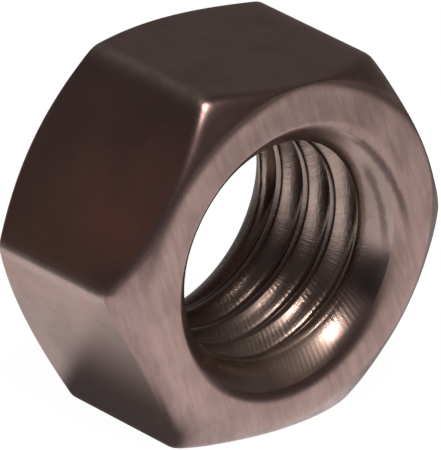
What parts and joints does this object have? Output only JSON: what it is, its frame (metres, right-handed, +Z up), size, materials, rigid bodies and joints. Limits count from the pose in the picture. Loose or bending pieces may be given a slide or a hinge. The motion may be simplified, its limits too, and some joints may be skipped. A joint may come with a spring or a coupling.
{
  "type": "hex nut",
  "caption": "Plain hexagon nut, crowned at both ends, with a countersunk right-hand threaded bore; turned with a spanner to clamp onto a bolt.",
  "frame": {"origin": "on the bore's axis, halfway through the thickness", "axes": "+Y along the bore, away from the end face that is seen from the front; +Z up, square to the top flat; +X to the right, through a corner"},
  "size_m": [0.016, 0.008, 0.014],
  "materials": {
    "nut_steel": "bare machined steel, slightly brown, satin end faces and darker drawn flats"
  },
  "bodies": {
    "root": {"hex_nut": "nut_steel"}
  },
  "joints": []
}
